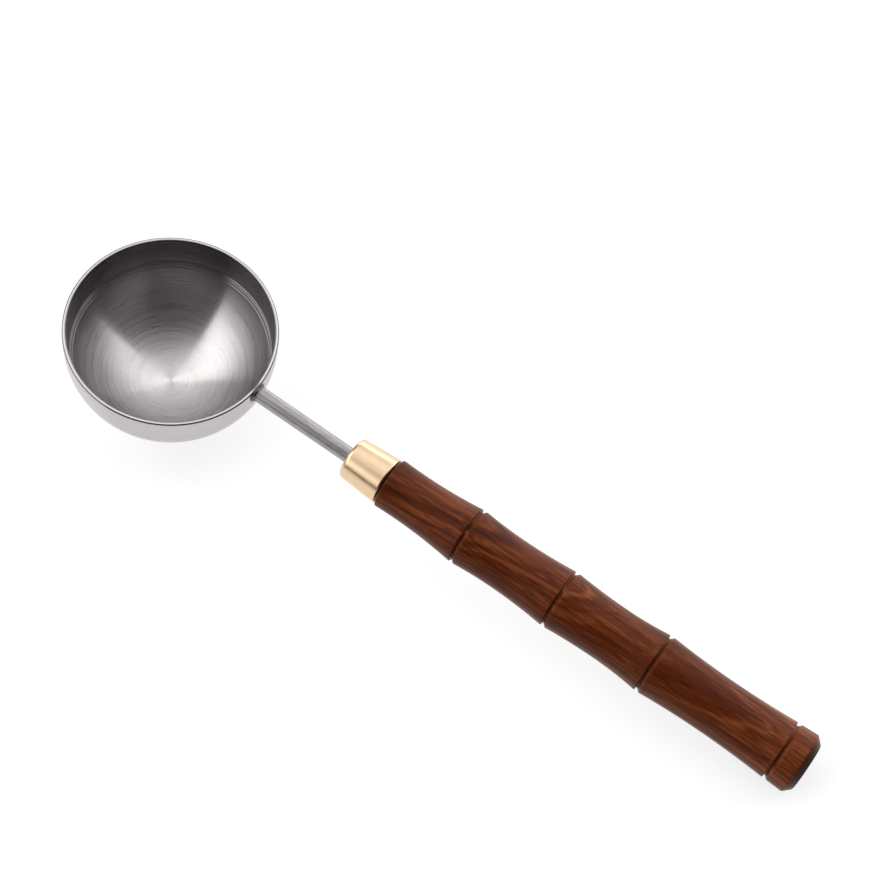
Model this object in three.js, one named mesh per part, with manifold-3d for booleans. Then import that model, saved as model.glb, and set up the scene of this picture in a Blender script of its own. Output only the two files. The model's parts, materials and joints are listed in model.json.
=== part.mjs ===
// A coffee scoop as it lies on a table: a deep steel bowl on a thin steel neck, a tapered brass ferrule
// and a hardwood handle turned in the shape of a bamboo cane.
// Millimetres, +Z up. The handle runs along +X. The bowl's bottom and the handle's far end touch z = 0,
// and the origin is under the middle of the scoop.
import * as THREE from "three";
import { mergeVertices } from "three/addons/utils/BufferGeometryUtils.js";
import Module from "manifold-3d";

// Gap left between pieces that seat on each other
const SEAT_GAP = 0.3;

// Bowl: a spun cup, straight under the lip and domed below it
const BOWL_RADIUS = 25;
const BOWL_WALL = 0.9;
const LIP_HEIGHT = 4;
const LIP_BEVEL = 0.22;
const DOME_DEPTH = 22;

// Neck: a round rod, welded to the bowl's side just under the lip and let into the handle
const ROD_RADIUS = 1.9;
const ROD_BELOW_LIP = 0.3;
const NECK_LENGTH = 26.6;
const TANG_LENGTH = 30;
const TANG_BEVEL = 0.5;
const WELD_LEG = 1;
const WELD_EDGE = 0.25;

// Ferrule: a brass cap over the handle's tenon, bored for the rod
const FERRULE_LENGTH = 10.3;
const FERRULE_FRONT_RADIUS = 5.15;
const FERRULE_BACK_RADIUS = 5.78;
const FERRULE_NOSE_ROUND = 1.1;
const FERRULE_BACK_BEVEL = 0.25;
const FERRULE_FACE = 2.2;
const FERRULE_WALL = 1.3;

// Handle: four waisted stretches of cane from the ferrule to the far end, each ending at a grooved node.
// Starts, waists and nodes are radii, and each WAIST_AT is measured from the start of its stretch.
const CANE_START = 6.15;
const FIRST_LENGTH = 21.35;
const FIRST_WAIST = 6;
const FIRST_WAIST_AT = 6.3;
const FIRST_NODE = 6.96;
const SECOND_LENGTH = 23.85;
const SECOND_WAIST = 6.45;
const SECOND_WAIST_AT = 10.4;
const SECOND_NODE = 7.14;
const THIRD_LENGTH = 23.95;
const THIRD_WAIST = 6.56;
const THIRD_WAIST_AT = 13;
const THIRD_NODE = 7.26;
const FOURTH_LENGTH = 32.1;
const FOURTH_WAIST = 6.62;
const FOURTH_WAIST_AT = 16.1;
const FOURTH_NODE = 7.17;
const SHOULDER_BEVEL = 0.4;
const GROOVE_WIDTH = 1.2;
const GROOVE_DEPTH = 0.6;
const GROOVE_STEEP_SIDE = 0.4;
const KNOB_LENGTH = 5.65;
const KNOB_RADIUS = 7.36;
const KNOB_BEVEL = 1.7;

// Facets round each piece, and along each curve of its outline
const BOWL_FACETS = 56;
const HANDLE_FACETS = 40;
const ROD_FACETS = 24;
const CURVE_STEPS = 5;
const NOSE_STEPS = 2;

// Places along the neck and handle, measured from the bowl's axis
const rodDrop = ROD_RADIUS + ROD_BELOW_LIP;
const ferruleFront = BOWL_RADIUS + NECK_LENGTH;
const ferruleBack = ferruleFront + FERRULE_LENGTH;
const handleFront = ferruleBack + SEAT_GAP;
const tangEnd = handleFront + TANG_LENGTH;
const stretches = [
  { length: FIRST_LENGTH, waist: FIRST_WAIST, waistAt: FIRST_WAIST_AT, node: FIRST_NODE },
  { length: SECOND_LENGTH, waist: SECOND_WAIST, waistAt: SECOND_WAIST_AT, node: SECOND_NODE },
  { length: THIRD_LENGTH, waist: THIRD_WAIST, waistAt: THIRD_WAIST_AT, node: THIRD_NODE },
  { length: FOURTH_LENGTH, waist: FOURTH_WAIST, waistAt: FOURTH_WAIST_AT, node: FOURTH_NODE },
];
const stretchesLength = stretches.reduce((sum, stretch) => sum + stretch.length + GROOVE_WIDTH, 0);
const handleEnd = handleFront + stretchesLength + KNOB_LENGTH;
const boreRadius = ROD_RADIUS + SEAT_GAP;
const socketRadius = FERRULE_FRONT_RADIUS - FERRULE_WALL;

const wasm = await Module();
wasm.setup();

// A closed geometry as a solid that can be cut
function solidOf(geometry) {
  const bare = geometry.clone();
  bare.deleteAttribute("normal");
  bare.deleteAttribute("uv");
  const merged = mergeVertices(bare);
  const mesh = new wasm.Mesh({
    numProp: 3,
    vertProperties: merged.getAttribute("position").array,
    triVerts: new Uint32Array(merged.getIndex().array),
  });
  return new wasm.Manifold(mesh);
}

// The geometry that is left of one solid after others are cut away
function cutGeometry(geometry, ...cutters) {
  const left = cutters.reduce((rest, cutter) => rest.subtract(solidOf(cutter)), solidOf(geometry));
  const mesh = left.getMesh();
  const cut = new THREE.BufferGeometry();
  cut.setAttribute("position", new THREE.BufferAttribute(mesh.vertProperties, mesh.numProp));
  cut.setIndex(new THREE.BufferAttribute(mesh.triVerts, 1));
  cut.computeVertexNormals();
  return cut;
}

// An outline of radius against height, spun round the bowl's upright axis
function spun(outline, steps) {
  return new THREE.LatheGeometry(outline.getPoints(steps), BOWL_FACETS).rotateX(Math.PI / 2);
}

// An outline of radius against length, turned round the handle's axis, which lies rodDrop below the lip
function turned(outline, steps, facets) {
  const geometry = new THREE.LatheGeometry(outline.getPoints(steps), facets);
  return geometry.rotateZ(-Math.PI / 2).translate(0, 0, -rodDrop);
}

// The bowl's outer shape as a closed plug, grown by a margin and raised above the lip
function bowlPlug(margin, above) {
  const outline = new THREE.Path();
  outline.moveTo(0, -LIP_HEIGHT - DOME_DEPTH - margin);
  outline.absellipse(0, -LIP_HEIGHT, BOWL_RADIUS + margin, DOME_DEPTH + margin, -Math.PI / 2, 0);
  outline.lineTo(BOWL_RADIUS + margin, above);
  outline.lineTo(0, above);
  return spun(outline, CURVE_STEPS);
}

function bowl() {
  const innerRadius = BOWL_RADIUS - BOWL_WALL;
  const innerDepth = DOME_DEPTH - BOWL_WALL;
  const outline = new THREE.Path();
  outline.moveTo(0, -LIP_HEIGHT - DOME_DEPTH);
  outline.absellipse(0, -LIP_HEIGHT, BOWL_RADIUS, DOME_DEPTH, -Math.PI / 2, 0);
  outline.lineTo(BOWL_RADIUS, -LIP_BEVEL);
  outline.lineTo(BOWL_RADIUS - LIP_BEVEL, 0);
  outline.lineTo(innerRadius + LIP_BEVEL, 0);
  outline.lineTo(innerRadius, -LIP_BEVEL);
  outline.lineTo(innerRadius, -LIP_HEIGHT);
  outline.absellipse(0, -LIP_HEIGHT, innerRadius, innerDepth, 0, -Math.PI / 2, true);
  return spun(outline, CURVE_STEPS + 1);
}

// The rod starts inside the bowl's wall and is coped back to it.
function neckRod() {
  const outline = new THREE.Path();
  outline.moveTo(0, BOWL_RADIUS - BOWL_WALL);
  outline.lineTo(ROD_RADIUS, BOWL_RADIUS - BOWL_WALL);
  outline.lineTo(ROD_RADIUS, tangEnd - TANG_BEVEL);
  outline.lineTo(ROD_RADIUS - TANG_BEVEL, tangEnd);
  outline.lineTo(0, tangEnd);
  return cutGeometry(turned(outline, 1, ROD_FACETS), bowlPlug(SEAT_GAP, ROD_RADIUS));
}

// A hollow fillet round the rod's front end. It lies against the bowl's wall and stays under the lip.
function weldBead() {
  const inner = ROD_RADIUS + SEAT_GAP;
  const outer = inner + WELD_LEG;
  const wall = BOWL_RADIUS - BOWL_WALL;
  const toe = BOWL_RADIUS + SEAT_GAP + WELD_LEG;
  const heel = BOWL_RADIUS + SEAT_GAP + WELD_EDGE;
  const outline = new THREE.Path();
  outline.moveTo(inner, wall);
  outline.lineTo(outer, wall);
  outline.lineTo(outer, heel);
  outline.quadraticCurveTo(inner + WELD_EDGE, heel, inner + WELD_EDGE, toe);
  outline.lineTo(inner, toe);
  outline.lineTo(inner, wall);
  const aboveLip = new THREE.BoxGeometry(BOWL_RADIUS, BOWL_RADIUS, outer);
  aboveLip.translate(BOWL_RADIUS, 0, outer / 2 - LIP_BEVEL);
  return cutGeometry(turned(outline, CURVE_STEPS, ROD_FACETS), bowlPlug(SEAT_GAP, outer), aboveLip);
}

function ferrule() {
  const outline = new THREE.Path();
  outline.moveTo(boreRadius, ferruleFront);
  outline.lineTo(FERRULE_FRONT_RADIUS - FERRULE_NOSE_ROUND, ferruleFront);
  outline.absarc(
    FERRULE_FRONT_RADIUS - FERRULE_NOSE_ROUND,
    ferruleFront + FERRULE_NOSE_ROUND,
    FERRULE_NOSE_ROUND,
    -Math.PI / 2,
    0,
  );
  outline.lineTo(FERRULE_BACK_RADIUS, ferruleBack - FERRULE_BACK_BEVEL);
  outline.lineTo(FERRULE_BACK_RADIUS - FERRULE_BACK_BEVEL, ferruleBack);
  outline.lineTo(socketRadius, ferruleBack);
  outline.lineTo(socketRadius, ferruleFront + FERRULE_FACE);
  outline.lineTo(boreRadius, ferruleFront + FERRULE_FACE);
  outline.lineTo(boreRadius, ferruleFront);
  return turned(outline, NOSE_STEPS, HANDLE_FACETS);
}

// Each stretch of cane is two parabolas that meet at its waist. It ends in a groove with one steep side,
// and the next stretch starts at the same node radius.
function addStretch(outline, front, { length, waist, waistAt, node }) {
  const middle = front + waistAt;
  const back = front + length;
  outline.quadraticCurveTo(waist, (front + middle) / 2, waist, middle);
  outline.quadraticCurveTo(waist, (middle + back) / 2, node, back);
  outline.lineTo(node - GROOVE_DEPTH, back + GROOVE_STEEP_SIDE);
  outline.lineTo(node, back + GROOVE_WIDTH);
}

function handle() {
  const tenonRadius = socketRadius - SEAT_GAP;
  const tenonFront = ferruleFront + FERRULE_FACE + SEAT_GAP;
  const boreEnd = tangEnd + SEAT_GAP;
  const outline = new THREE.Path();
  outline.moveTo(0, boreEnd);
  outline.lineTo(boreRadius, boreEnd);
  outline.lineTo(boreRadius, tenonFront);
  outline.lineTo(tenonRadius, tenonFront);
  outline.lineTo(tenonRadius, handleFront);
  outline.lineTo(CANE_START - SHOULDER_BEVEL, handleFront);
  outline.lineTo(CANE_START, handleFront + SHOULDER_BEVEL);
  let front = handleFront;
  for (const stretch of stretches) {
    addStretch(outline, front, stretch);
    front += stretch.length + GROOVE_WIDTH;
  }
  outline.lineTo(KNOB_RADIUS, handleEnd - KNOB_BEVEL);
  outline.lineTo(KNOB_RADIUS - KNOB_BEVEL, handleEnd);
  outline.lineTo(0, handleEnd);
  return turned(outline, CURVE_STEPS, HANDLE_FACETS);
}

// The tilt at which the dome and the edge of the handle's end bevel stand on one level.
// With t = tan(tilt), the dome reaches sqrt((BOWL_RADIUS t)^2 + DOME_DEPTH^2) below its centre,
// and the edge reaches reach * t + drop.
function restTilt() {
  const reach = handleEnd - KNOB_BEVEL;
  const drop = rodDrop + KNOB_RADIUS - LIP_HEIGHT;
  const spread = reach ** 2 - BOWL_RADIUS ** 2;
  const root = Math.sqrt((reach * drop) ** 2 + spread * (DOME_DEPTH ** 2 - drop ** 2));
  return Math.atan((root - reach * drop) / spread);
}

function piece(name, geometry, color, roughness, metalness) {
  const mesh = new THREE.Mesh(geometry, new THREE.MeshStandardMaterial({ color, roughness, metalness }));
  mesh.name = name;
  return mesh;
}

const scoop = new THREE.Group();
scoop.add(piece("bowl", bowl(), 0xbab7b4, 0.32, 1));
scoop.add(piece("neck_rod", neckRod(), 0xaeabab, 0.35, 1));
scoop.add(piece("weld_bead", weldBead(), 0x77706c, 0.55, 1));
scoop.add(piece("ferrule", ferrule(), 0xdcbc8a, 0.28, 1));
scoop.add(piece("handle", handle(), 0x6b3a26, 0.5, 0));

// The scoop is tipped to its resting tilt, then stood on z = 0 over the origin.
scoop.rotation.y = restTilt();
const extent = new THREE.Box3().setFromObject(scoop, true);
const middle = extent.getCenter(new THREE.Vector3());
scoop.position.set(-middle.x, -middle.y, -extent.min.z);

const part = new THREE.Group();
part.add(scoop);
export default part;
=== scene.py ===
"""A coffee scoop in spun steel, pale brass and oiled hardwood, as a Blender add-on round its solids.

Every piece is an outline drawn from a few named sizes, extruded from point to point and spun round
its axis. That is done on a level bench: the bowl's axis is Z, its lip lies at z = 0 and the handle
runs along +X. The finished piece is then laid into the frame at the tilt at which the scoop rests.
"""
import json
import math
from collections import namedtuple

import bpy
from mathutils import Matrix, Vector


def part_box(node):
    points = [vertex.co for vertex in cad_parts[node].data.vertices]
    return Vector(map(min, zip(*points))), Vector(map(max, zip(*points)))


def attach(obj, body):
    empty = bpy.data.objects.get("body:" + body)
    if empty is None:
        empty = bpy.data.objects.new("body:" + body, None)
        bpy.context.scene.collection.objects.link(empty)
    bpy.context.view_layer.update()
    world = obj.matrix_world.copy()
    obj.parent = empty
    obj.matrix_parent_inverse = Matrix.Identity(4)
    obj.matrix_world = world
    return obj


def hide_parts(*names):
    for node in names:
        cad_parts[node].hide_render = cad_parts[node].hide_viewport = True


bl_info = {
    "name": "Coffee scoop",
    "version": (1, 0, 0),
    "blender": (4, 5, 0),
    "location": "3D View > Sidebar > Scoop",
    "description": "Steel bowl and neck, brass ferrule and turned wooden handle of a coffee scoop",
    "category": "Object",
}

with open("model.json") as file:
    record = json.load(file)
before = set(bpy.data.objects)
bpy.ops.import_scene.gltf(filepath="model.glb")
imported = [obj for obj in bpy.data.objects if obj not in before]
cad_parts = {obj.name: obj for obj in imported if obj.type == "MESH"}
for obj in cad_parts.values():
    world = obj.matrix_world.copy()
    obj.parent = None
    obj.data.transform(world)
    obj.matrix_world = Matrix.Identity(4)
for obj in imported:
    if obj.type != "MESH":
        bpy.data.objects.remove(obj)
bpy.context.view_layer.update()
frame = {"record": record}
MM = 0.001


def mount(name):
    """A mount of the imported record, as its point and its axis."""
    found = next(m for m in frame["record"]["mounts"] if m["name"] == name)
    return Vector(found["pos_m"]), Vector(found["axis"]).normalized()


# Sizes that the frame gives, and the bowl's sheet. The true round of the bowl stays inside the flats
# of its solid.
FLAT_DEPTH = 0.03 * MM
BOWL_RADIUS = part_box("bowl")[1].y - FLAT_DEPTH
ROD_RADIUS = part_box("neck_rod")[1].y
FERRULE_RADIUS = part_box("ferrule")[1].y
KNOB_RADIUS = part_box("handle")[1].y
BOWL_WALL = 0.9 * MM

# The bench in the frame: its origin is the middle of the lip
HANDLE_END, HANDLE_WAY = mount("handle_end")
LIP_EDGE, BOWL_UP = mount("bowl_lip")
LIP_MIDDLE = LIP_EDGE + HANDLE_WAY * (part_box("bowl")[1].y - BOWL_WALL / 2)
BENCH = Matrix((HANDLE_WAY, BOWL_UP.cross(HANDLE_WAY), BOWL_UP)).transposed().to_4x4()
BENCH.translation = LIP_MIDDLE
ROD_DROP = (LIP_MIDDLE - HANDLE_END).dot(BOWL_UP)
HANDLE_REACH = (HANDLE_END - LIP_MIDDLE).dot(HANDLE_WAY)

# Bowl: what the lip, the turning rings and the tool mark at the pole measure. A ring's angles are in
# degrees on the dome, from 0 at the collar to -90 at the pole.
LIP_OUTER_ROUND = 0.34 * MM
LIP_INNER_ROUND = 0.18 * MM
DOME_STEPS = 40
RING_STEPS = 4
Ring = namedtuple("Ring", "angle half_angle depth")
RINGS = (
    Ring(-12.6, 0.4, 0.12 * MM),
    Ring(-14.6, 0.35, 0.1 * MM),
    Ring(-17.3, 0.3, 0.08 * MM),
)
POLE_MARK_RADIUS = 0.55 * MM
POLE_MARK_DEPTH = 0.06 * MM

# Neck: how deep the rod and its weld bite into the bowl's wall, the bevel of the tang, and the
# weld's own shape
COPE_DEPTH = 0.3 * MM
TANG_BEVEL = 0.5 * MM
WELD_LEG = 0.5 * MM
WELD_EDGE = 0.12 * MM
WELD_BITE = 0.5 * MM
WELD_BELOW_LIP = 0.2 * MM
WELD_LUMP_SIZE = 0.9 * MM
WELD_LUMP_HEIGHT = 0.12 * MM
WELD_STEPS = 6

# Ferrule: its bore, its socket and its broken back edge
BORE_CLEARANCE = 0.06 * MM
FERRULE_FACE = 2.2 * MM
FERRULE_WALL = 1.3 * MM
FERRULE_BACK_ROUND = 0.45 * MM

# Handle: each stretch of cane has its length, the radius of its waist, how far along that is, and
# its node's radius
Stretch = namedtuple("Stretch", "length waist waist_at node")
STRETCHES = (
    Stretch(21.35 * MM, 6.0 * MM, 6.3 * MM, 6.96 * MM),
    Stretch(23.85 * MM, 6.45 * MM, 10.4 * MM, 7.14 * MM),
    Stretch(23.95 * MM, 6.56 * MM, 13.0 * MM, 7.26 * MM),
    Stretch(32.1 * MM, 6.62 * MM, 16.1 * MM, 7.17 * MM),
)
CANE_START = 6.15 * MM
SEAT_GAP = 0.3 * MM
SHOULDER_GAP = 0.5 * MM
SHOULDER_ROUND = 0.35 * MM
NODE_ROUND = 0.16 * MM
GROOVE_STEEP_SIDE = 0.16 * MM
GROOVE_FLOOR = 0.26 * MM
KNOB_EDGE_ROUND = 0.3 * MM
CANE_STEPS = 14

# Modelling
SPIN_STEPS = 192
ROD_SPIN_STEPS = 72
CORNER_STEPS = 4
MERGE_DISTANCE = 0.0005 * MM
SMOOTH_ANGLE = math.radians(32)
UV_SPAN = 100 * MM
DRUM_RADII_TALL = 4

# Finishes: marks in each millimetre, along the bowl's outline or along the bench's three axes
TURNING_LINES = 2.6
TURNING_WAVES = 0.75
TURNING_DRIFT = (0.05, 0.05, 0)
BOWL_CLOUDS = (0.12, 0.12, 0.12)
ROD_LINES = (0.09, 4.0, 4.0)
ROD_CLOUDS = (0.35, 0.9, 0.9)
WELD_PITS = (2.2, 2.2, 2.2)
BRASS_LINES = (7.0, 0.12, 0.12)
BRASS_CLOUDS = (0.25, 0.25, 0.25)
WOOD_SWAY = (0.022, 0.1, 0.1)
WOOD_STREAKS = (0.06, 1.7, 1.7)
WOOD_FIBRES = (0.12, 5.0, 5.0)
WOOD_PORES = (0.13, 3.0, 3.0)
GROWTH_ACROSS = 0.75
GROWTH_ALONG = 0.008

# Finishes: how deep the marks go
TURNING_LINE_DEPTH = 0.005 * MM
TURNING_WAVE_DEPTH = 0.02 * MM
ROD_LINE_DEPTH = 0.012 * MM
WELD_PIT_DEPTH = 0.06 * MM
BRASS_LINE_DEPTH = 0.004 * MM
FIBRE_DEPTH = 0.006 * MM

# Finishes: most of a noise lies between these two values
NOISE_LOW = 0.3
NOISE_HIGH = 0.7

# Steel: places in millimetres. Along the bowl's outline they count from the top of the lip, inwards.
# The bowl's stain counts from the middle of the joint, and the rod's along the bench's X. A band is
# full up to so far from its middle, and ends further out.
Band = namedtuple("Band", "middle full end strength")
BUFFED_LIP = Band(0.1, 0.5, 0.75, 1.0)
# Painted shade: a dark line round the lip's outer round and another just inside the lip.
PAINTED_OUTER_LIP_LINE = Band(-0.3, 0.2, 0.28, 0.8)
PAINTED_INNER_LIP_LINE = Band(0.85, 0.15, 0.3, 0.7)
BOWL_STAIN = Band(0, 2.1, 3.0, 0.85)
ROD_STAIN = Band(BOWL_RADIUS / MM, 0.4, 1.3, 0.8)
# How dark the heat stains are made, and the painted shade of the lines along the lip.
STAIN_AND_PAINTED_SHADE = 0.3
INSIDE_START = 0.1
INSIDE_FULL = 0.5
# Painted shade on the inside: the wall keeps its dark colour up to the first of these lengths and
# takes the bottom's lighter colour by the second.
WALL_SHADE_FULL = 3
WALL_SHADE_END = 29
MARK_DARK = 0.82
MARK_LIGHT = 1.14
LIP_ROUGHNESS = 0.12
BUFFED_ROUGHNESS = 0.24
MARKED_ROUGHNESS = (0.26, 0.31)

# Wood: where the heart of the tree lies beside the handle, how far the growth bands wander, which
# tones are dark, middle and light, and where pores and the darkened end begin and are full. The end
# is darkened partly as end grain and partly as painted shade. In millimetres, the darkened end
# counted back from the handle's end.
HEART_ASIDE = (0, 17, 24)
HEART_TURN = (0, math.radians(5), math.radians(-7))
GROWTH_WANDER = 4.0
GRAIN_TONES = (0.33, 0.5, 0.67)
PORE_START = 0.57
PORE_FULL = 0.66
PORE_STRENGTH = 0.5
PORE_SHADE = 0.5
END_GRAIN_AND_SHADE_START = 1.7
END_GRAIN_AND_SHADE_FULL = 1.3
END_GRAIN_AND_SHADE_STRENGTH = 0.85

# Picture: the camera's place, turn in degrees and lens
CAMERA_PLACE = (0.11221, -0.18677, 0.42921)
CAMERA_TURN = (29.8227, -1.9450, 34.5430)
CAMERA_LENS = 84.62

# Light: the floor, the dark room, and its softboxes. A softbox stands so far from the bowl at an
# azimuth and a height, upright at a tilt of 90 degrees and facing down at 0, and its brightness is
# measured against a white of 1.
FLOOR_RADIUS = 0.9
FLOOR_SIDES = 64
ROOM_RADIUS = 3.6
ROOM_SEGMENTS = 48
ROOM_RINGS = 24
ROOM_GREY = 0.004
Softbox = namedtuple("Softbox", "azimuth reach height tilt width tall brightness")
SOFTBOXES = (
    Softbox(-146.5, 1.3, 0.97, 90, 2.3, 1.0, 2.9),
    Softbox(-146.5, 1.3, 1.97, 90, 2.3, 1.0, 1.1),
    Softbox(60, 1.3, 1.0, 90, 1.63, 1.06, 1.55),
    Softbox(135, 0.215, 2.25, 0, 3.1, 0.95, 1.15),
    Softbox(135, 1.165, 2.25, 0, 3.1, 0.95, 1.55),
    Softbox(130, 1.73, 1.73, 90, 2.94, 0.86, 1.1),
    Softbox(92, 1.5, 0.4, 90, 3.0, 0.74, 2.4),
)


class BowlSettings(bpy.types.PropertyGroup):
    """Sizes and colours of the bowl"""

    radius: bpy.props.FloatProperty(
        name="Radius", description="Outer radius at the lip",
        default=BOWL_RADIUS, unit="LENGTH")
    wall: bpy.props.FloatProperty(
        name="Wall", description="Thickness of the sheet",
        default=BOWL_WALL, unit="LENGTH")
    collar: bpy.props.FloatProperty(
        name="Collar", description="Height of the straight wall under the lip",
        default=4 * MM, unit="LENGTH")
    dome: bpy.props.FloatProperty(
        name="Dome", description="Depth of the dome below the collar",
        default=22 * MM, unit="LENGTH")
    colour: bpy.props.FloatVectorProperty(
        name="Steel", description="Colour of the bowl's bottom inside",
        subtype="COLOR", default=(0.76, 0.722, 0.724))
    # Painted shade: the inside wall is coloured far darker than the bottom.
    shaded_wall_colour: bpy.props.FloatVectorProperty(
        name="Wall steel", description="Colour of the wall inside",
        subtype="COLOR", default=(0.18, 0.17, 0.171))
    buffed_colour: bpy.props.FloatVectorProperty(
        name="Buffed steel", description="Colour of the lip and outside",
        subtype="COLOR", default=(0.58, 0.552, 0.552))


class NeckSettings(bpy.types.PropertyGroup):
    """Sizes and colours of the rod and its weld"""

    radius: bpy.props.FloatProperty(
        name="Radius", description="Radius of the rod",
        default=ROD_RADIUS, unit="LENGTH")
    length: bpy.props.FloatProperty(
        name="Length", description="Bare length between bowl and ferrule",
        default=26.6 * MM, unit="LENGTH")
    tang: bpy.props.FloatProperty(
        name="Tang", description="Length let into the wood",
        default=30 * MM, unit="LENGTH")
    colour: bpy.props.FloatVectorProperty(
        name="Steel", description="Colour of the drawn steel",
        subtype="COLOR", default=(0.35, 0.329, 0.332))
    weld_colour: bpy.props.FloatVectorProperty(
        name="Weld", description="Colour of the heat-stained weld",
        subtype="COLOR", default=(0.1, 0.095, 0.095))


class FerruleSettings(bpy.types.PropertyGroup):
    """Sizes and colour of the ferrule"""

    length: bpy.props.FloatProperty(
        name="Length", description="Length of the cap",
        default=10.3 * MM, unit="LENGTH")
    front_radius: bpy.props.FloatProperty(
        name="Front radius", description="Radius behind the nose",
        default=5.15 * MM, unit="LENGTH")
    back_radius: bpy.props.FloatProperty(
        name="Back radius", description="Radius at the wood",
        default=FERRULE_RADIUS, unit="LENGTH")
    nose_round: bpy.props.FloatProperty(
        name="Nose round", description="Rounding of the nose",
        default=1.1 * MM, unit="LENGTH")
    colour: bpy.props.FloatVectorProperty(
        name="Brass", description="Colour of the brass",
        subtype="COLOR", default=(0.78, 0.572, 0.375))


class HandleSettings(bpy.types.PropertyGroup):
    """Sizes and colours of the handle"""

    groove_width: bpy.props.FloatProperty(
        name="Groove width", description="Width of the groove at a node",
        default=1.2 * MM, unit="LENGTH")
    groove_depth: bpy.props.FloatProperty(
        name="Groove depth", description="Depth of the groove at a node",
        default=0.75 * MM, unit="LENGTH")
    end_radius: bpy.props.FloatProperty(
        name="End radius", description="Radius of the knob at the end",
        default=KNOB_RADIUS, unit="LENGTH")
    end_bevel: bpy.props.FloatProperty(
        name="End bevel", description="Bevel round the end",
        default=1.7 * MM, unit="LENGTH")
    dark: bpy.props.FloatVectorProperty(
        name="Dark grain", description="Colour of the late wood",
        subtype="COLOR", default=(0.032, 0.0058, 0.0015))
    middle: bpy.props.FloatVectorProperty(
        name="Wood", description="Main colour of the wood",
        subtype="COLOR", default=(0.132, 0.0253, 0.0052))
    light: bpy.props.FloatVectorProperty(
        name="Light grain", description="Colour of the early wood",
        subtype="COLOR", default=(0.345, 0.1035, 0.0345))


class StageSettings(bpy.types.PropertyGroup):
    """Floor and light"""

    floor_colour: bpy.props.FloatVectorProperty(
        name="Floor", description="Colour of the floor",
        subtype="COLOR", default=(0.42, 0.42, 0.42))
    floor_glow: bpy.props.FloatProperty(
        name="Floor glow", description="White that is added to what is seen of the floor",
        default=0.74)
    brightness: bpy.props.FloatProperty(
        name="Light", description="Brightness of the softboxes",
        default=1.0)


def arc(centre, reach, start, end, steps):
    """Outline points of a round stretch.

    Reach is (across, along), and angles are in degrees from across.
    """
    turns = [math.radians(start + (end - start) * i / steps) for i in range(steps + 1)]
    return [(centre[0] + reach[0] * math.cos(a), centre[1] + reach[1] * math.sin(a)) for a in turns]


def ease_corners(outline):
    """An outline in which each point with a third value, its reach, is rounded over that reach."""
    points = [Vector(p[:2]) for p in outline]
    eased = []
    for i, corner in enumerate(points):
        if len(outline[i]) < 3:
            eased.append(corner)
            continue
        reach = outline[i][2]
        start = corner + (points[i - 1] - corner).normalized() * reach
        end = corner + (points[i + 1] - corner).normalized() * reach
        for step in range(CORNER_STEPS + 1):
            t = step / CORNER_STEPS
            eased.append(start.lerp(corner, t).lerp(corner.lerp(end, t), t))
    return eased


def bowl_point(point):
    """Where (radius, height) of a bowl outline lies on the bench."""
    return Vector((point[0], 0, point[1]))


def handle_point(point):
    """Where (radius, length) of a rod or handle outline lies on the bench."""
    return Vector((point[1], 0, point[0] - ROD_DROP))


def bowl_turn(place):
    """Angle round the bowl's axis, and the distance from it."""
    return math.atan2(place.y, place.x), math.hypot(place.x, place.y)


def handle_turn(place):
    """Angle round the handle's axis, and the distance from it."""
    height = place.z + ROD_DROP
    return math.atan2(place.y, height), math.hypot(place.y, height)


def draw_outline(name, points):
    """A mesh of one line: a plane is merged to a vertex, which is extruded from point to point."""
    bpy.ops.object.select_all(action="DESELECT")
    bpy.ops.mesh.primitive_plane_add(size=MM, calc_uvs=False)
    piece = bpy.context.object
    piece.name = name
    piece.data.name = name
    bpy.ops.object.mode_set(mode="EDIT")
    bpy.ops.mesh.select_all(action="SELECT")
    bpy.ops.mesh.merge(type="CENTER")
    bpy.ops.transform.translate(value=points[0])
    for before, after in zip(points, points[1:]):
        bpy.ops.mesh.extrude_vertices_move(TRANSFORM_OT_translate={"value": after - before})
    bpy.ops.object.mode_set(mode="OBJECT")
    return piece


def mark_lengths(piece, points):
    """Gives each vertex of a drawn outline its length along it, counted from its highest point."""
    lengths = [0.0]
    for before, after in zip(points, points[1:]):
        lengths.append(lengths[-1] + (after - before).length)
    highest = max(range(len(points)), key=lambda i: points[i].z)
    along = piece.data.attributes.new("along", "FLOAT", "POINT")
    for vertex, mark in zip(piece.data.vertices, along.data):
        nearest = min(range(len(points)), key=lambda i: (points[i] - vertex.co).length)
        mark.value = lengths[nearest] - lengths[highest]


def spin_outline(centre, axis, steps):
    """Spins the active outline all the way round, merges what meets and turns the faces outwards."""
    bpy.ops.object.mode_set(mode="EDIT")
    bpy.ops.mesh.select_all(action="SELECT")
    bpy.ops.mesh.spin(steps=steps, angle=math.tau, center=centre, axis=axis)
    bpy.ops.mesh.select_all(action="SELECT")
    bpy.ops.mesh.remove_doubles(threshold=MERGE_DISTANCE)
    bpy.ops.mesh.normals_make_consistent(inside=False)
    bpy.ops.object.mode_set(mode="OBJECT")


def lay_uv(piece, turn_of):
    """A UV map for a spun mesh: U runs along the outline, V once round the axis."""
    mesh = piece.data
    layer = mesh.uv_layers.new(name="turning")
    along = mesh.attributes["along"].data
    for face in mesh.polygons:
        middle = turn_of(face.center)[0]
        for loop in face.loop_indices:
            vertex = mesh.loops[loop].vertex_index
            turn, distance = turn_of(mesh.vertices[vertex].co)
            aside = (turn - middle + math.pi) % math.tau - math.pi
            if distance < MERGE_DISTANCE:
                aside = 0
            layer.data[loop].uv = (along[vertex].value / UV_SPAN, (middle + aside) / math.tau)


def spun_on_bowl(name, outline):
    """A piece spun round the bowl's axis from an outline of (radius, height)."""
    points = [bowl_point(p) for p in ease_corners(outline)]
    piece = draw_outline(name, points)
    mark_lengths(piece, points)
    spin_outline((0, 0, 0), (0, 0, 1), SPIN_STEPS)
    lay_uv(piece, bowl_turn)
    return piece


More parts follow.
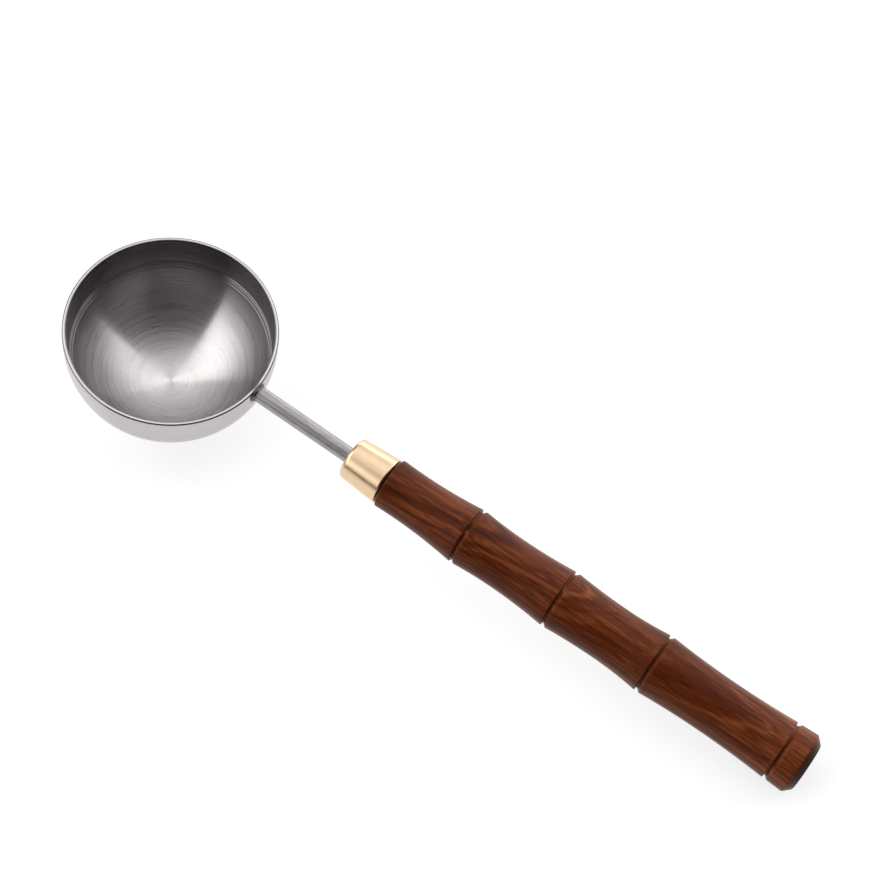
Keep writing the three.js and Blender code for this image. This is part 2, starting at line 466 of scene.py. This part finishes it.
def turned_on_handle(name, outline, steps):
    """A piece turned round the handle's axis from an outline of (radius, length)."""
    points = [handle_point(p) for p in ease_corners(outline)]
    piece = draw_outline(name, points)
    mark_lengths(piece, points)
    spin_outline((0, 0, -ROD_DROP), (1, 0, 0), steps)
    lay_uv(piece, handle_turn)
    return piece


def cope_to_bowl(piece, radius):
    """Cuts a piece back to an upright drum of that radius round the bowl's axis."""
    bpy.ops.object.select_all(action="DESELECT")
    bpy.ops.mesh.primitive_cylinder_add(
        vertices=2 * SPIN_STEPS, radius=radius, depth=DRUM_RADII_TALL * radius, calc_uvs=False)
    drum = bpy.context.object
    bpy.ops.object.select_all(action="DESELECT")
    piece.select_set(True)
    bpy.context.view_layer.objects.active = piece
    bpy.ops.object.modifier_add(type="BOOLEAN")
    cut = piece.modifiers[-1]
    cut.operation = "DIFFERENCE"
    cut.solver = "EXACT"
    cut.object = drum
    bpy.ops.object.modifier_apply(modifier=cut.name)
    bpy.data.objects.remove(drum)


def finish_piece(piece, node, material):
    """Smooths a piece, lays it from the bench into the frame and hands it over for its CAD node."""
    piece.data.materials.clear()
    piece.data.materials.append(material)
    bpy.ops.object.shade_smooth_by_angle(angle=SMOOTH_ANGLE)
    bpy.ops.object.modifier_add(type="WEIGHTED_NORMAL")
    piece.modifiers[-1].keep_sharp = True
    bpy.ops.object.modifier_apply(modifier=piece.modifiers[-1].name)
    piece.matrix_world = BENCH
    bpy.ops.object.transform_apply(location=True, rotation=True, scale=True)
    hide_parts(node)
    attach(piece, "root")


class Finish:
    """A material's nodes, with short calls for those that the finishes share."""

    def __init__(self, name):
        self.material = bpy.data.materials.new(name)
        self.material.use_nodes = True
        self.tree = self.material.node_tree
        self.shader = self.tree.nodes["Principled BSDF"]

    def add(self, kind, inputs, **settings):
        """A new node with its settings and its inputs."""
        node = self.tree.nodes.new(kind)
        for name, value in settings.items():
            setattr(node, name, value)
        self.fill(node, inputs)
        return node

    def fill(self, node, inputs):
        """Sets a node's inputs to values or links them to other nodes' outputs."""
        for name, value in inputs.items():
            if isinstance(value, bpy.types.NodeSocket):
                self.tree.links.new(value, node.inputs[name])
            else:
                node.inputs[name].default_value = value

    def bench(self, centre=(0, 0, 0)):
        """Place on the bench in millimetres, counted from a centre."""
        where = self.add("ShaderNodeTexCoord", {})
        laid = BENCH @ Matrix.Translation(centre)
        mapping = self.add(
            "ShaderNodeMapping",
            {
                "Vector": where.outputs["Object"],
                "Location": laid.translation,
                "Rotation": laid.to_euler(),
                "Scale": (MM, MM, MM),
            },
            vector_type="TEXTURE",
        )
        return mapping.outputs["Vector"]

    def along(self):
        """Length along the piece's outline in millimetres."""
        uv = self.add("ShaderNodeUVMap", {}, uv_map="turning")
        return self.maths("MULTIPLY", self.parts(uv.outputs["UV"])["X"], UV_SPAN / MM)

    def maths(self, operation, first, second=0.0):
        """The result of a sum on two values."""
        node = self.add("ShaderNodeMath", {0: first, 1: second}, operation=operation)
        return node.outputs["Value"]

    def weighed(self, *shares):
        """The sum of some values, each times its weight."""
        total = 0.0
        for value, weight in shares:
            total = self.maths("ADD", total, self.maths("MULTIPLY", value, weight))
        return total

    def vector(self, x, y, z=0.0):
        """A vector from its three parts."""
        return self.add("ShaderNodeCombineXYZ", {"X": x, "Y": y, "Z": z}).outputs["Vector"]

    def parts(self, vector):
        """The three parts of a vector, by their letters."""
        return self.add("ShaderNodeSeparateXYZ", {"Vector": vector}).outputs

    def length(self, vector):
        """How long a vector is."""
        return self.add("ShaderNodeVectorMath", {0: vector}, operation="LENGTH").outputs["Value"]

    def scaled(self, vector, scale):
        """A vector with each part multiplied by its own scale."""
        node = self.add("ShaderNodeVectorMath", {0: vector, 1: scale}, operation="MULTIPLY")
        return node.outputs["Vector"]

    def noise(self, vector, detail, roughness=0.55):
        """Smooth noise from 0 to 1."""
        inputs = {"Vector": vector, "Scale": 1.0, "Detail": detail, "Roughness": roughness}
        return self.add("ShaderNodeTexNoise", inputs).outputs["Fac"]

    def ranged(self, value, low, high, to_low=0.0, to_high=1.0):
        """A value moved from one range to another, and held within it."""
        inputs = {
            "Value": value,
            "From Min": low,
            "From Max": high,
            "To Min": to_low,
            "To Max": to_high,
        }
        return self.add("ShaderNodeMapRange", inputs).outputs["Result"]

    def eased(self, value, low, high):
        """A value moved from a range to 0 to 1, with soft ends."""
        inputs = {"Value": value, "From Min": low, "From Max": high}
        node = self.add("ShaderNodeMapRange", inputs, interpolation_type="SMOOTHSTEP")
        return node.outputs["Result"]

    def between(self, share, first, second):
        """A value between two values."""
        return self.ranged(share, 0.0, 1.0, first, second)

    def spread(self, noise, low=0.0, high=1.0):
        """A noise spread over a range."""
        return self.ranged(noise, NOISE_LOW, NOISE_HIGH, low, high)

    def band(self, value, band):
        """The band's strength near its middle, and 0 beyond its end."""
        away = self.maths("ABSOLUTE", self.maths("SUBTRACT", value, band.middle))
        return self.ranged(away, band.full, band.end, band.strength, 0.0)

    def ramp(self, value, stops):
        """A colour by value, from stops of (place, colour)."""
        node = self.add("ShaderNodeValToRGB", {"Fac": value})
        band = node.color_ramp.elements
        while len(band) < len(stops):
            band.new(1.0)
        for element, (place, colour) in zip(band, stops):
            element.position = place
            element.color = (*colour, 1)
        return node.outputs["Color"]

    def toned(self, noise, colour, darkest, lightest):
        """A colour made darker and lighter by a noise."""
        stops = [(NOISE_LOW, shade(colour, darkest)), (NOISE_HIGH, shade(colour, lightest))]
        return self.ramp(noise, stops)

    def mixed(self, share, first, second):
        """A colour between two colours."""
        node = self.add("ShaderNodeMix", {"Factor": share}, data_type="RGBA")
        sockets = [s for s in node.inputs if s.type == "RGBA"]
        for socket, colour in zip(sockets, (first, second)):
            if isinstance(colour, bpy.types.NodeSocket):
                self.tree.links.new(colour, socket)
            else:
                socket.default_value = (*colour, 1)
        return next(s for s in node.outputs if s.type == "RGBA")

    def bumped(self, height, depth, normal=None):
        """A normal bent by a height from 0 to 1 that stands for a depth in metres."""
        inputs = {"Height": height, "Strength": 1.0, "Distance": depth}
        if normal:
            inputs["Normal"] = normal
        return self.add("ShaderNodeBump", inputs).outputs["Normal"]

    def tangent(self):
        """The direction along the piece's outline."""
        node = self.add("ShaderNodeTangent", {}, direction_type="UV_MAP", uv_map="turning")
        return node.outputs["Tangent"]


def shade(colour, factor):
    """A colour made darker or lighter."""
    return tuple(min(1.0, c * factor) for c in colour)


def spun_steel(colour, wall, buffed):
    """Steel with turning marks inside, a buffed lip, painted shade as dark lines along the lip and
    on the inside wall, and a heat stain at the weld.
    """
    finish = Finish("ringed_steel")
    place = finish.bench()
    along = finish.along()
    drift = finish.parts(finish.scaled(place, TURNING_DRIFT))
    fine = finish.vector(finish.maths("MULTIPLY", along, TURNING_LINES), drift["X"], drift["Y"])
    broad = finish.vector(finish.maths("MULTIPLY", along, TURNING_WAVES), drift["X"], drift["Y"])
    lines = finish.noise(fine, detail=4, roughness=0.62)
    waves = finish.noise(broad, detail=1, roughness=0.5)
    cloud = finish.noise(finish.scaled(place, BOWL_CLOUDS), detail=3)
    tone = finish.weighed((lines, 0.7), (cloud, 0.3))
    inside = finish.ranged(along, INSIDE_START, INSIDE_FULL)
    # Painted shade: the inside goes from the dark wall colour to the lighter bottom colour towards
    # the pole.
    depth = finish.eased(along, WALL_SHADE_FULL, WALL_SHADE_END)
    low = finish.mixed(depth, shade(wall, MARK_DARK), shade(colour, MARK_DARK))
    high = finish.mixed(depth, shade(wall, MARK_LIGHT), shade(colour, MARK_LIGHT))
    marked = finish.mixed(finish.spread(tone), low, high)
    smooth = finish.toned(tone, buffed, darkest=0.95, lightest=1.05)
    steel = finish.mixed(inside, smooth, marked)
    joint = finish.bench((BOWL_RADIUS, 0, -ROD_DROP))
    stain = finish.band(finish.length(joint), BOWL_STAIN)
    # Painted shade: dark lines along the lip's outer round and just inside the lip, joined with the
    # weld's real heat stain.
    painted_lip_lines = finish.maths("MAXIMUM", finish.band(along, PAINTED_OUTER_LIP_LINE), finish.band(along, PAINTED_INNER_LIP_LINE))
    stain_and_painted_lines = finish.maths("MAXIMUM", stain, painted_lip_lines)
    marks = finish.spread(lines, *MARKED_ROUGHNESS)
    roughness = finish.between(inside, BUFFED_ROUGHNESS, marks)
    lip = finish.band(along, BUFFED_LIP)
    ripple = finish.bumped(waves, TURNING_WAVE_DEPTH)
    finish.fill(finish.shader, {
        "Base Color": finish.mixed(stain_and_painted_lines, steel, shade(wall, STAIN_AND_PAINTED_SHADE)),
        "Metallic": 1.0,
        "Roughness": finish.between(lip, roughness, LIP_ROUGHNESS),
        "Anisotropic": 1.0,
        "Tangent": finish.tangent(),
        "Normal": finish.bumped(lines, TURNING_LINE_DEPTH, ripple),
    })
    return finish.material


def drawn_steel(colour):
    """Rod steel with marks along its length, and a heat stain at the weld."""
    finish = Finish("drawn_steel")
    place = finish.bench((0, 0, -ROD_DROP))
    lines = finish.noise(finish.scaled(place, ROD_LINES), detail=4, roughness=0.6)
    cloud = finish.noise(finish.scaled(place, ROD_CLOUDS), detail=3)
    tone = finish.weighed((lines, 0.55), (cloud, 0.45))
    steel = finish.toned(tone, colour, darkest=0.72, lightest=1.25)
    stain = finish.band(finish.parts(place)["X"], ROD_STAIN)
    finish.fill(finish.shader, {
        "Base Color": finish.mixed(stain, steel, shade(colour, STAIN_AND_PAINTED_SHADE)),
        "Metallic": 1.0,
        "Roughness": finish.spread(tone, 0.3, 0.38),
        "Anisotropic": 0.3,
        "Anisotropic Rotation": 0.25,
        "Tangent": finish.tangent(),
        "Normal": finish.bumped(lines, ROD_LINE_DEPTH),
    })
    return finish.material


def stained_weld(colour):
    """Weld metal, dark and a little pitted."""
    finish = Finish("stained_weld")
    pits = finish.noise(finish.scaled(finish.bench(), WELD_PITS), detail=4)
    finish.fill(finish.shader, {
        "Base Color": finish.toned(pits, colour, darkest=0.5, lightest=1.9),
        "Metallic": 1.0,
        "Roughness": finish.spread(pits, 0.3, 0.5),
        "Normal": finish.bumped(pits, WELD_PIT_DEPTH),
    })
    return finish.material


def pale_brass(colour):
    """Satin brass with fine marks round its axis."""
    finish = Finish("turned_brass")
    place = finish.bench((0, 0, -ROD_DROP))
    lines = finish.noise(finish.scaled(place, BRASS_LINES), detail=4, roughness=0.6)
    cloud = finish.noise(finish.scaled(place, BRASS_CLOUDS), detail=3)
    tone = finish.weighed((lines, 0.5), (cloud, 0.5))
    finish.fill(finish.shader, {
        "Base Color": finish.toned(tone, colour, darkest=0.9, lightest=1.1),
        "Metallic": 1.0,
        "Roughness": finish.spread(tone, 0.28, 0.36),
        "Anisotropic": 0.3,
        "Tangent": finish.tangent(),
        "Normal": finish.bumped(lines, BRASS_LINE_DEPTH),
    })
    return finish.material


def oiled_wood(dark, middle, light):
    """Hardwood with wandering growth bands, lengthwise streaks, short pores and an end darkened
    partly as end grain and partly as painted shade.
    """
    finish = Finish("oiled_wood")
    place = finish.bench((0, 0, -ROD_DROP))
    lengthwise = finish.parts(place)["X"]
    sway = finish.noise(finish.scaled(place, WOOD_SWAY), detail=2)
    heart = finish.add(
        "ShaderNodeMapping",
        {"Vector": place, "Location": HEART_ASIDE, "Rotation": HEART_TURN},
    )
    distance = finish.length(finish.scaled(heart.outputs["Vector"], (0, 1, 1)))
    wander = finish.maths("ADD", distance, finish.maths("MULTIPLY", sway, GROWTH_WANDER))
    growth = finish.vector(
        finish.maths("MULTIPLY", wander, GROWTH_ACROSS),
        finish.maths("MULTIPLY", lengthwise, GROWTH_ALONG),
    )
    bands = finish.noise(growth, detail=3, roughness=0.6)
    streaks = finish.noise(finish.scaled(place, WOOD_STREAKS), detail=4, roughness=0.6)
    fibres = finish.noise(finish.scaled(place, WOOD_FIBRES), detail=2)
    specks = finish.noise(finish.scaled(place, WOOD_PORES), detail=1)
    tone = finish.weighed((bands, 0.55), (streaks, 0.33), (fibres, 0.12))
    grain = finish.ramp(tone, list(zip(GRAIN_TONES, (dark, middle, light))))
    pores = finish.ranged(specks, PORE_START, PORE_FULL)
    pore_share = finish.maths("MULTIPLY", pores, PORE_STRENGTH)
    pored = finish.mixed(pore_share, grain, shade(dark, PORE_SHADE))
    end = HANDLE_REACH / MM
    # Painted shade: the handle's end is darkened, partly as the end grain's own darker colour and
    # partly as shade.
    end_grain_and_shade = finish.ranged(
        lengthwise, end - END_GRAIN_AND_SHADE_START, end - END_GRAIN_AND_SHADE_FULL, 0.0, END_GRAIN_AND_SHADE_STRENGTH)
    finish.fill(finish.shader, {
        "Base Color": finish.mixed(end_grain_and_shade, pored, shade(dark, PORE_SHADE)),
        "Roughness": finish.spread(fibres, 0.3, 0.38),
        "Specular IOR Level": 0.1,
        "Sheen Weight": 0.2,
        "Sheen Roughness": 0.4,
        "Sheen Tint": (1.0, 0.72, 0.52, 1),
        "Normal": finish.bumped(finish.maths("SUBTRACT", fibres, pores), FIBRE_DEPTH),
    })
    return finish.material


def white_floor(colour, glow):
    """A floor that takes shadows, and that is seen lighter than it is lit."""
    finish = Finish("white_floor")
    path = finish.add("ShaderNodeLightPath", {})
    seen = finish.maths("ADD", path.outputs["Is Camera Ray"], path.outputs["Is Glossy Ray"])
    seen = finish.maths("ADD", seen, path.outputs["Is Transmission Ray"])
    finish.fill(finish.shader, {
        "Base Color": (*colour, 1),
        "Roughness": 0.9,
        "Specular IOR Level": 0.0,
        "Emission Color": (1, 1, 1, 1),
        "Emission Strength": finish.maths("MULTIPLY", seen, glow),
    })
    return finish.material


def dark_wall():
    """Black cloth that swallows light."""
    finish = Finish("dark_wall")
    finish.fill(finish.shader, {
        "Base Color": (ROOM_GREY, ROOM_GREY, ROOM_GREY, 1),
        "Roughness": 1.0,
        "Specular IOR Level": 0.0,
    })
    return finish.material


class SCOOP_OT_bowl(bpy.types.Operator):
    """Spin the steel bowl, with a buffed lip, turning rings and the tool's mark at the pole"""

    bl_idname = "scoop.bowl"
    bl_label = "Spin the bowl"

    def execute(self, context):
        sizes = context.scene.scoop_bowl
        outer = (sizes.radius, sizes.dome)
        inner = (sizes.radius - sizes.wall, sizes.dome - sizes.wall)
        centre = (0, -sizes.collar)
        bottom = -sizes.collar - inner[1]
        outline = arc(centre, outer, -90, 0, DOME_STEPS)
        outline += [
            (sizes.radius, 0, LIP_OUTER_ROUND),
            (inner[0], 0, LIP_INNER_ROUND),
        ]
        start = 0
        for ring in RINGS:
            groove = (inner[0] + ring.depth, inner[1] + ring.depth)
            outline += arc(centre, inner, start, ring.angle + ring.half_angle, RING_STEPS)
            outline += arc(centre, groove, ring.angle, ring.angle, 1)[:1]
            start = ring.angle - ring.half_angle
        outline += arc(centre, inner, start, -90, DOME_STEPS)[:-1]
        outline += [(POLE_MARK_RADIUS, bottom), (0, bottom - POLE_MARK_DEPTH)]
        piece = spun_on_bowl("spun_bowl", outline)
        steel = spun_steel(sizes.colour, sizes.shaded_wall_colour, sizes.buffed_colour)
        finish_piece(piece, "bowl", steel)
        return {"FINISHED"}


class SCOOP_OT_neck_rod(bpy.types.Operator):
    """Turn the rod from the bowl's wall to the end of its tang"""

    bl_idname = "scoop.neck_rod"
    bl_label = "Fit the neck rod"

    def execute(self, context):
        sizes = context.scene.scoop_neck
        bowl = context.scene.scoop_bowl
        ferrule = context.scene.scoop_ferrule
        end = bowl.radius + sizes.length + ferrule.length + SEAT_GAP + sizes.tang
        start = bowl.radius - bowl.wall
        outline = [
            (0, start),
            (sizes.radius, start),
            (sizes.radius, end - TANG_BEVEL),
            (sizes.radius - TANG_BEVEL, end),
            (0, end),
        ]
        piece = turned_on_handle("drawn_rod", outline, ROD_SPIN_STEPS)
        cope_to_bowl(piece, bowl.radius - COPE_DEPTH)
        finish_piece(piece, "neck_rod", drawn_steel(sizes.colour))
        return {"FINISHED"}


class SCOOP_OT_weld_bead(bpy.types.Operator):
    """Run the weld's hollow fillet round the rod, uneven as weld metal is"""

    bl_idname = "scoop.weld_bead"
    bl_label = "Run the weld"

    def execute(self, context):
        sizes = context.scene.scoop_neck
        bowl = context.scene.scoop_bowl
        inner = sizes.radius - WELD_BITE
        outer = sizes.radius + WELD_LEG
        wall = bowl.radius - bowl.wall
        end = bowl.radius + WELD_LEG
        leg = WELD_LEG - WELD_EDGE
        outline = [(inner, wall), (outer, wall)]
        outline += arc((outer, end), (leg, leg), 270, 180, WELD_STEPS)
        outline += [(inner, end), (inner, wall)]
        piece = turned_on_handle("weld_fillet", outline, ROD_SPIN_STEPS)
        lumps = bpy.data.textures.new("weld_lumps", "CLOUDS")
        lumps.noise_scale = WELD_LUMP_SIZE
        bpy.ops.object.modifier_add(type="DISPLACE")
        displace = piece.modifiers[-1]
        displace.texture = lumps
        displace.strength = WELD_LUMP_HEIGHT
        bpy.ops.object.modifier_apply(modifier=displace.name)
        bpy.ops.object.mode_set(mode="EDIT")
        bpy.ops.mesh.select_all(action="SELECT")
        bpy.ops.mesh.bisect(
            plane_co=(0, 0, -WELD_BELOW_LIP),
            plane_no=(0, 0, 1),
            use_fill=True,
            clear_outer=True,
            threshold=MERGE_DISTANCE,
        )
        bpy.ops.mesh.select_all(action="SELECT")
        bpy.ops.mesh.normals_make_consistent(inside=False)
        bpy.ops.object.mode_set(mode="OBJECT")
        cope_to_bowl(piece, bowl.radius - COPE_DEPTH)
        finish_piece(piece, "weld_bead", stained_weld(sizes.weld_colour))
        return {"FINISHED"}


class SCOOP_OT_ferrule(bpy.types.Operator):
    """Turn the brass cap, with its bore for the rod and its socket for the wood"""

    bl_idname = "scoop.ferrule"
    bl_label = "Turn the ferrule"

    def execute(self, context):
        sizes = context.scene.scoop_ferrule
        neck = context.scene.scoop_neck
        front = context.scene.scoop_bowl.radius + neck.length
        back = front + sizes.length
        bore = neck.radius + BORE_CLEARANCE
        socket = sizes.front_radius - FERRULE_WALL
        nose = sizes.nose_round
        outline = [(bore, front)]
        centre = (sizes.front_radius - nose, front + nose)
        outline += arc(centre, (nose, nose), -90, 0, 2 * CORNER_STEPS)
        outline += [
            (sizes.back_radius, back, FERRULE_BACK_ROUND),
            (socket, back),
            (socket, front + FERRULE_FACE),
            (bore, front + FERRULE_FACE),
            (bore, front),
        ]
        piece = turned_on_handle("brass_ferrule", outline, SPIN_STEPS)
        finish_piece(piece, "ferrule", pale_brass(sizes.colour))
        return {"FINISHED"}


class SCOOP_OT_handle(bpy.types.Operator):
    """Turn the wooden handle with its tenon, waisted stretches, grooves and bevelled end"""

    bl_idname = "scoop.handle"
    bl_label = "Turn the handle"

    def execute(self, context):
        sizes = context.scene.scoop_handle
        neck = context.scene.scoop_neck
        ferrule = context.scene.scoop_ferrule
        ferrule_front = context.scene.scoop_bowl.radius + neck.length
        front = ferrule_front + ferrule.length + SEAT_GAP
        shoulder = front - SEAT_GAP + SHOULDER_GAP
        tenon = ferrule.front_radius - FERRULE_WALL - SEAT_GAP
        tenon_front = ferrule_front + FERRULE_FACE + SEAT_GAP
        bore = neck.radius + BORE_CLEARANCE
        bore_end = front + neck.tang + SEAT_GAP
        outline = [
            (0, bore_end),
            (bore, bore_end),
            (bore, tenon_front),
            (tenon, tenon_front),
            (tenon, shoulder),
            (CANE_START, shoulder, SHOULDER_ROUND),
        ]
        start = CANE_START
        for stretch in STRETCHES:
            outline += self.cane(front, start, stretch)
            front += stretch.length
            outline += self.groove(front, stretch.node, sizes)
            front += sizes.groove_width
            start = stretch.node
        end = HANDLE_REACH
        outline += [
            (sizes.end_radius, end - sizes.end_bevel, KNOB_EDGE_ROUND),
            (sizes.end_radius - sizes.end_bevel, end, KNOB_EDGE_ROUND),
            (0, end),
        ]
        piece = turned_on_handle("cane_handle", outline, SPIN_STEPS)
        wood = oiled_wood(sizes.dark, sizes.middle, sizes.light)
        finish_piece(piece, "handle", wood)
        return {"FINISHED"}

    @staticmethod
    def cane(front, start, stretch):
        """Outline points of one stretch between its ends: two parabolas that meet at the waist."""
        points = []
        for step in range(1, CANE_STEPS):
            along = stretch.length * step / CANE_STEPS
            if along < stretch.waist_at:
                share = 1 - along / stretch.waist_at
                rise = start - stretch.waist
            else:
                share = (along - stretch.waist_at) / (stretch.length - stretch.waist_at)
                rise = stretch.node - stretch.waist
            points.append((stretch.waist + rise * share ** 2, front + along))
        return points

    @staticmethod
    def groove(front, node, sizes):
        """Outline points of the groove behind a node: a slit, then a slope to the next stretch."""
        floor = node - sizes.groove_depth
        slit_end = front + GROOVE_STEEP_SIDE + GROOVE_FLOOR
        return [
            (node, front, NODE_ROUND),
            (floor, front + GROOVE_STEEP_SIDE),
            (floor, slit_end),
            (node, front + sizes.groove_width, NODE_ROUND),
        ]


class SCOOP_OT_stage(bpy.types.Operator):
    """Set the white floor, the soft light and the camera"""

    bl_idname = "scoop.stage"
    bl_label = "Set the stage"

    def execute(self, context):
        settings = context.scene.scoop_stage
        self.floor(settings)
        self.dark_room()
        self.light(context, settings)
        self.camera(context)
        context.scene.view_settings.view_transform = "Standard"
        return {"FINISHED"}

    @staticmethod
    def floor(settings):
        """A wide white floor under the scoop."""
        bpy.ops.object.select_all(action="DESELECT")
        bpy.ops.mesh.primitive_circle_add(
            vertices=FLOOR_SIDES, radius=FLOOR_RADIUS, fill_type="NGON")
        floor = bpy.context.object
        floor.name = "floor"
        floor.data.materials.append(white_floor(settings.floor_colour, settings.floor_glow))

    @staticmethod
    def dark_room():
        """Dark walls round the floor, which metal mirrors and the camera looks through."""
        bpy.ops.object.select_all(action="DESELECT")
        bpy.ops.mesh.primitive_uv_sphere_add(
            segments=ROOM_SEGMENTS, ring_count=ROOM_RINGS, radius=ROOM_RADIUS)
        room = bpy.context.object
        room.name = "dark_room"
        bpy.ops.object.mode_set(mode="EDIT")
        bpy.ops.mesh.select_all(action="SELECT")
        bpy.ops.mesh.bisect(plane_co=(0, 0, 0), plane_no=(0, 0, 1), clear_inner=True)
        bpy.ops.object.mode_set(mode="OBJECT")
        room.data.materials.append(dark_wall())
        room.visible_camera = False

    @staticmethod
    def light(context, settings):
        """White beyond the room, and the softboxes in it."""
        world = bpy.data.worlds.new("white_beyond")
        world.use_nodes = True
        world.node_tree.nodes["Background"].inputs["Color"].default_value = (1, 1, 1, 1)
        context.scene.world = world
        for box in SOFTBOXES:
            turn = math.radians(box.azimuth)
            place = Vector((math.cos(turn) * box.reach, math.sin(turn) * box.reach, box.height))
            bpy.ops.object.light_add(
                type="AREA",
                location=LIP_MIDDLE + place,
                rotation=(math.radians(box.tilt), 0, turn + math.pi / 2),
            )
            lamp = bpy.context.object
            lamp.data.shape = "RECTANGLE"
            lamp.data.size = box.width
            lamp.data.size_y = box.tall
            # An area lamp's brightness is its power over its area, over pi
            area = box.width * box.tall
            lamp.data.energy = math.pi * settings.brightness * box.brightness * area
            lamp.visible_camera = False

    @staticmethod
    def camera(context):
        """The camera at the photograph's place and angle."""
        turn = [math.radians(a) for a in CAMERA_TURN]
        bpy.ops.object.camera_add(location=CAMERA_PLACE, rotation=turn)
        camera = bpy.context.object
        camera.data.lens = CAMERA_LENS
        context.scene.camera = camera


class VIEW3D_PT_scoop(bpy.types.Panel):
    """Sizes, colours and steps of the scoop"""

    bl_label = "Coffee scoop"
    bl_space_type = "VIEW_3D"
    bl_region_type = "UI"
    bl_category = "Scoop"

    def draw(self, context):
        for name in SETTINGS:
            settings = getattr(context.scene, name)
            box = self.layout.box()
            for prop in settings.bl_rna.properties:
                if prop.identifier not in ("rna_type", "name"):
                    box.prop(settings, prop.identifier)
        for operator in STEPS:
            self.layout.operator(operator.bl_idname)


SETTINGS = {
    "scoop_bowl": BowlSettings,
    "scoop_neck": NeckSettings,
    "scoop_ferrule": FerruleSettings,
    "scoop_handle": HandleSettings,
    "scoop_stage": StageSettings,
}
STEPS = (
    SCOOP_OT_bowl,
    SCOOP_OT_neck_rod,
    SCOOP_OT_weld_bead,
    SCOOP_OT_ferrule,
    SCOOP_OT_handle,
    SCOOP_OT_stage,
)


def register():
    for name, group in SETTINGS.items():
        bpy.utils.register_class(group)
        setattr(bpy.types.Scene, name, bpy.props.PointerProperty(type=group))
    for operator in STEPS:
        bpy.utils.register_class(operator)
    bpy.utils.register_class(VIEW3D_PT_scoop)


def unregister():
    bpy.utils.unregister_class(VIEW3D_PT_scoop)
    for operator in reversed(STEPS):
        bpy.utils.unregister_class(operator)
    for name, group in reversed(SETTINGS.items()):
        delattr(bpy.types.Scene, name)
        bpy.utils.unregister_class(group)


def main():
    register()
    bpy.ops.scoop.bowl()
    bpy.ops.scoop.neck_rod()
    bpy.ops.scoop.weld_bead()
    bpy.ops.scoop.ferrule()
    bpy.ops.scoop.handle()
    bpy.ops.scoop.stage()


if __name__ == "__main__":
    main()
